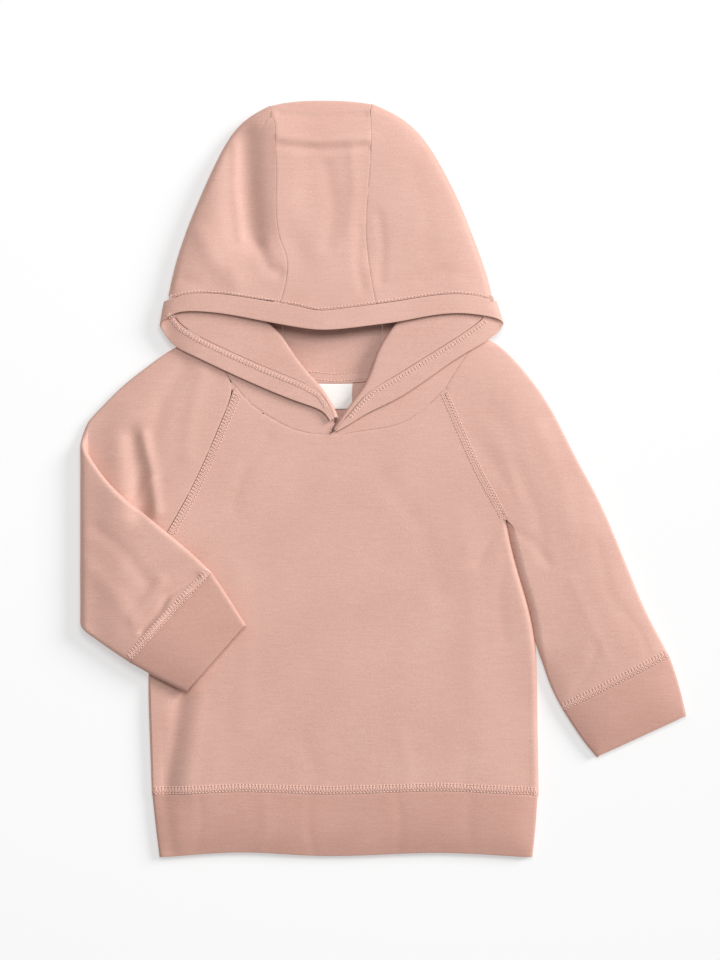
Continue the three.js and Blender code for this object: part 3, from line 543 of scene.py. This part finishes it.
# %% Give each piece its cloth
FINISHES = {
    "waistband": ("ribbing", ribbing),
    "cuff_left": ("ribbing", ribbing),
    "cuff_right": ("ribbing", ribbing),
    "label": ("satin", satin),
}
for node, piece in cloth.items():
    slot, material = FINISHES.get(node, ("jersey", jersey))
    piece.data.materials.clear()
    piece.data.materials.append(material)
    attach(piece, "root")
    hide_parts(node)
    print(node, "is", slot)

# %% [markdown]
# ## Sewing
# The raglans, the hem and the cuffs are sewn down with a cover stitch: two rows of needle thread, and a
# looper thread that crosses between them. The hood's edge, its band and the neck tape have narrower rows.
# A texture of stitches would stretch and look printed, so each stitch is a small spindle of thread.
# Rays cast down on the cloth find where it lies, and rays cast up do the same for the underside.

# %% Where the rows of stitches run
COVER = 2.5  # mm, half the width of a cover stitch
CHAIN = 0.9  # mm, half the width of the narrow row on the band
SINGLE = 0  # a row with one thread has no width
ROWS = [
    {"name": "cover_stitch_raglan_left", "on": ["front_panel", "sleeve_left"], "half": COVER,
     "below": 13,  # mm; the cloth above that is the sleeve's folded layer
     "line": [(-140.8, 54.2), (-118.6, 93.3), (-104.5, 122.4), (-91.4, 153.5), (-81.7, 175.6)]},
    {"name": "cover_stitch_raglan_right", "on": ["front_panel", "sleeve_right"], "half": COVER,
     "line": [(123.6, 80.4), (106.2, 111.6), (95.2, 135.2), (85.2, 158.6), (77.6, 176)]},
    {"name": "cover_stitch_waist", "on": ["front_panel"], "half": COVER,
     "line": [(-147, -132.4), (-80, -129.2), (-11, -131.4), (75, -128.6), (148, -132.4)]},
    {"name": "cover_stitch_cuff_left", "on": ["sleeve_left"], "half": COVER,
     "line": [(-166, -28.2), (-136, 5), (-104.6, 38)]},
    {"name": "cover_stitch_cuff_right", "on": ["sleeve_right"], "half": COVER,
     "line": [(169.4, -67.4), (210, -46.8), (250.8, -25.6)]},
    {"name": "top_stitch_crown", "on": ["hood_left", "hood_centre", "hood_right"], "half": SINGLE,
     "line": [(-134, 250.4), (-125, 252.8), (-114, 254.2), (-92, 253.2), (-63, 248.6), (-38, 244.6),
              (-20, 240.4), (-2, 242), (20, 244.8), (42, 247.9), (64, 251.6), (85, 253.6), (101, 252.4),
              (112, 249.8)]},
    {"name": "chain_stitch_band_left", "on": ["hood_band"], "half": CHAIN,
     "line": [(-136.3, 237.2), (-127.7, 225.8), (-113.7, 216.8), (-87.9, 204.4), (-59.4, 191.7),
              (-33.1, 181), (-19.3, 173.3), (-13.3, 163.9)]},
    {"name": "chain_stitch_band_right", "on": ["hood_band"], "half": CHAIN,
     "line": [(4.7, 156.8), (15.2, 168.7), (24.1, 176.4), (40.3, 185.5), (60.3, 198), (81.5, 211.1),
              (100.4, 223.6), (111.3, 232)]},
    {"name": "top_stitch_tape_low", "on": ["neck_tape"], "half": SINGLE,
     "line": [(-60, 193.9), (-40, 188.4), (-7, 185.2), (28, 188.4), (58, 193.9)]},
    {"name": "top_stitch_tape_high", "on": ["neck_tape"], "half": SINGLE,
     "line": [(-60, 199.6), (-40, 193.8), (-7, 190.9), (28, 193.8), (58, 199.6)]},
    {"name": "cover_stitch_back_left", "on": ["back_panel"], "half": COVER, "from_below": True,
     "line": [(-138, 58), (-69.2, 191)]},
    {"name": "cover_stitch_back_right", "on": ["back_panel"], "half": COVER, "from_below": True,
     "line": [(120, 81), (66.8, 191)]},
    {"name": "cover_stitch_back_waist", "on": ["back_panel"], "half": COVER, "from_below": True,
     "line": [(-143, -132.4), (-80, -129.2), (-11, -131.4), (75, -128.6), (144, -132.4)]},
    {"name": "cover_stitch_cuff_right_under", "on": ["sleeve_right"], "half": COVER, "from_below": True,
     "line": [(172, -66), (210, -46.8), (248, -27)]},
]
print("rows:", len(ROWS))

# %% Points along a row, put on the cloth
ABOVE_ALL, UNDER_ALL = 50 * MM, -10 * MM  # where rays start
LIFT = 0.2 * MM  # of a stitch's middle off the cloth
NO_LIMIT = 99  # mm, higher than any cloth


def walk(line, step):
    """Places one step apart along straight runs, each with the direction of its run."""
    places, left = [], step / 2
    for start, end in zip(line, line[1:]):
        start, run = Vector(start), Vector(end) - Vector(start)
        along = run.normalized()
        while left < run.length:
            places.append((start + along * left, along))
            left += step
        left -= run.length
    return places


def on_cloth(tree, place, from_below=False, limit=NO_LIMIT):
    """The place on the cloth above or below a point of the plan, or None beside or above the limit."""
    height, down = (UNDER_ALL, 1) if from_below else (ABOVE_ALL, -1)
    hit = tree.ray_cast(Vector((place.x * MM, place.y * MM, height)), Vector((0, 0, down)))[0]
    return None if hit is None or hit.z > limit * MM else hit + Vector((0, 0, LIFT))


print("stitches lie", round(LIFT / MM, 1), "mm off the cloth")

# %% Sew the rows
PITCH = 2.6  # mm, one stitch; a little longer than a real one so that it shows
STITCH_HALF = 0.42 * PITCH  # mm, so that a gap is left between two stitches
OVERLAP = 1.04  # how much longer a spindle is than its stitch, since its ends are thin
LONGEST = 2.5 * PITCH * MM  # a stitch longer than this has jumped to another layer
NEEDLE_THREAD = 0.42 * MM  # radius, coarser than a real thread so that it shows
LOOPER_THREAD = 0.36 * MM  # radius


def add_stitch(form, start, end, radius):
    """A spindle of thread between two places."""
    if start is None or end is None or (end - start).length > LONGEST:
        return
    run = end - start
    turn = run.to_track_quat("Z", "Y").to_matrix().to_4x4()
    size = Matrix.Diagonal((radius, radius, run.length * OVERLAP / 2, 1))
    middle = Matrix.Translation((start + end) / 2)
    bmesh.ops.create_icosphere(form, subdivisions=1, radius=1, matrix=middle @ turn @ size)


def sew(row):
    """A row of stitches as one mesh: needle threads along both sides, and the looper thread between."""
    tree, half = tree_of([cloth[node] for node in row["on"]]), row["half"]
    side_and_limit = row.get("from_below", False), row.get("below", NO_LIMIT)
    form = bmesh.new()
    for place, along in walk(row["line"], PITCH):
        across = Vector((-along.y, along.x))
        ends = (place - along * STITCH_HALF, place + along * STITCH_HALF)
        for side in ((-half, half) if half else (0,)):
            back, ahead = [on_cloth(tree, point + across * side, *side_and_limit) for point in ends]
            add_stitch(form, back, ahead, NEEDLE_THREAD)
        if half:
            peak = on_cloth(tree, place + across * half, *side_and_limit)
            for point in ends:
                foot = on_cloth(tree, point - across * half, *side_and_limit)
                add_stitch(form, foot, peak, LOOPER_THREAD)
    stitches = new_object(row["name"], form)
    stitches.data.shade_smooth()
    stitches.data.materials.append(thread)
    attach(stitches, "root")
    return stitches


sewing = {row["name"]: sew(row) for row in ROWS}
for name, stitches in sewing.items():
    print(name, len(stitches.data.polygons), "faces")

# %% [markdown]
# ## Corners where three pieces meet
# Where three seams meet, a maker tucks the loose ends of cloth under, and they fill the corner.
# The rolled edges leave a pinhole there, through which the inside would show dark.
# Modelling the folded ends is work that nobody sees, so a flat lens of cloth lies just under each corner.

# %% Fill the corners from beneath
TUCK_DROP = 0.75 * MM  # the lens's middle, under the place where a stitch would lie
TUCK_HALF = 0.45 * MM  # half its thickness
CORNERS = [
    {"at": (-86.2, 181), "on": ["front_panel", "sleeve_left", "hood_left"], "radius": 3.2},
    {"at": (79, 178.2), "on": ["front_panel", "sleeve_right", "hood_right"], "radius": 3.2},
    {"at": (124.4, 79.4), "on": ["front_panel", "sleeve_right"], "radius": 2.4},
    {"at": (-51, 246.8), "on": ["hood_left", "hood_centre", "hood_band"], "radius": 3.6},
    {"at": (-132.4, 249.6), "on": ["hood_left", "hood_band"], "radius": 2.8},
    {"at": (113, 248.4), "on": ["hood_right", "hood_band"], "radius": 2.8},
]


def middle_height(tree, centre, radius):
    """The middle one of the cloth's heights at eight places round a centre."""
    ring = [Vector((math.cos(k * math.pi / 4), math.sin(k * math.pi / 4))) * radius for k in range(8)]
    places = [on_cloth(tree, centre + offset) for offset in ring]
    heights = sorted(place.z for place in places if place is not None)
    return heights[len(heights) // 2]


tuck_form = bmesh.new()
for corner in CORNERS:
    radius, centre = corner["radius"], Vector(corner["at"])
    tree = tree_of([cloth[node] for node in corner["on"]])
    height = middle_height(tree, centre, radius) - TUCK_DROP
    middle = Matrix.Translation((centre.x * MM, centre.y * MM, height))
    size = Matrix.Diagonal((radius * MM, radius * MM, TUCK_HALF, 1))
    bmesh.ops.create_icosphere(tuck_form, subdivisions=3, radius=1, matrix=middle @ size)
seam_tucks = new_object("seam_tucks", tuck_form)
seam_tucks.data.shade_smooth()
seam_tucks.data.materials.append(jersey)
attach(seam_tucks, "root")
print("tucks:", len(CORNERS))

# %% [markdown]
# ## Cut sizes
# Each piece was cut flat before it was sewn, so its cloth has a size of its own.
# The listed size says how much cloth shows, and the surface made for the piece is printed beside it.
# A tube such as a cuff is listed opened out, since it lies here with one half on the other.

# %% Each piece's cut size beside its surface
CUTS = [  # width and length in metres, and area in square metres
    {"node": "front_panel", "flat": (0.31, 0.32), "area": 0.081},
    {"node": "back_panel", "flat": (0.31, 0.34), "area": 0.087},
    {"node": "waistband", "flat": (0.60, 0.049), "area": 0.029},
    {"node": "sleeve_left", "flat": (0.29, 0.30), "area": 0.050},
    {"node": "sleeve_right", "flat": (0.29, 0.30), "area": 0.045},
    {"node": "cuff_left", "flat": (0.19, 0.044), "area": 0.0083},
    {"node": "cuff_right", "flat": (0.19, 0.044), "area": 0.0083},
    {"node": "hood_left", "flat": (0.19, 0.27), "area": 0.033},
    {"node": "hood_centre", "flat": (0.085, 0.42), "area": 0.029},
    {"node": "hood_right", "flat": (0.19, 0.27), "area": 0.035},
    {"node": "hood_band", "flat": (0.64, 0.015), "area": 0.0094},
    {"node": "neck_tape", "flat": (0.14, 0.01), "area": 0.0013},
    {"node": "label", "flat": (0.029, 0.02), "area": 0.00057},
]


def half_surface(piece):
    """Half of a piece's whole surface, in square metres: one side of its cloth."""
    form = bmesh.new()
    form.from_mesh(piece.data)
    area = sum(face.calc_area() for face in form.faces) / 2
    form.free()
    return area


for row in CUTS:
    made = round(half_surface(cloth[row["node"]]), 5)
    print(row["node"], "declared", row["area"], "m2, made", made, "m2")

# %% [markdown]
# ## The floor
# The garment lies on a plain white ground that is even up to the picture's corners.
# White paper under these lamps alone comes out uneven, with a shadow that is too dark.
# So the paper here is pale grey with a weak glow of its own, which lifts the ground and softens the shadow.

# %% A table top under the garment
TABLE_HALF = 3  # metres, from its middle to its edge
GLOW = 0.44  # the strength of the paper's own light
TABLE_LEVEL = -0.3 * MM  # just under the garment, whose stitches reach a little below the cloth
table_form = bmesh.new()
bmesh.ops.create_grid(table_form, x_segments=1, y_segments=1, size=TABLE_HALF)
bmesh.ops.translate(table_form, verts=table_form.verts, vec=(0, 0, TABLE_LEVEL))
table_top = new_object("table_top", table_form)
paper, paper_shader = new_material("white_paper_ground")  # uncoated paper: quite matt
paper_shader.inputs["Base Color"].default_value = linear("bababa")
paper_shader.inputs["Roughness"].default_value = 1
paper_shader.inputs["Specular IOR Level"].default_value = 0
paper_shader.inputs["Emission Color"].default_value = (1, 1, 1, 1)
paper_shader.inputs["Emission Strength"].default_value = GLOW
table_top.data.materials.append(paper)
print("table top at", round(TABLE_LEVEL / MM, 1), "mm")
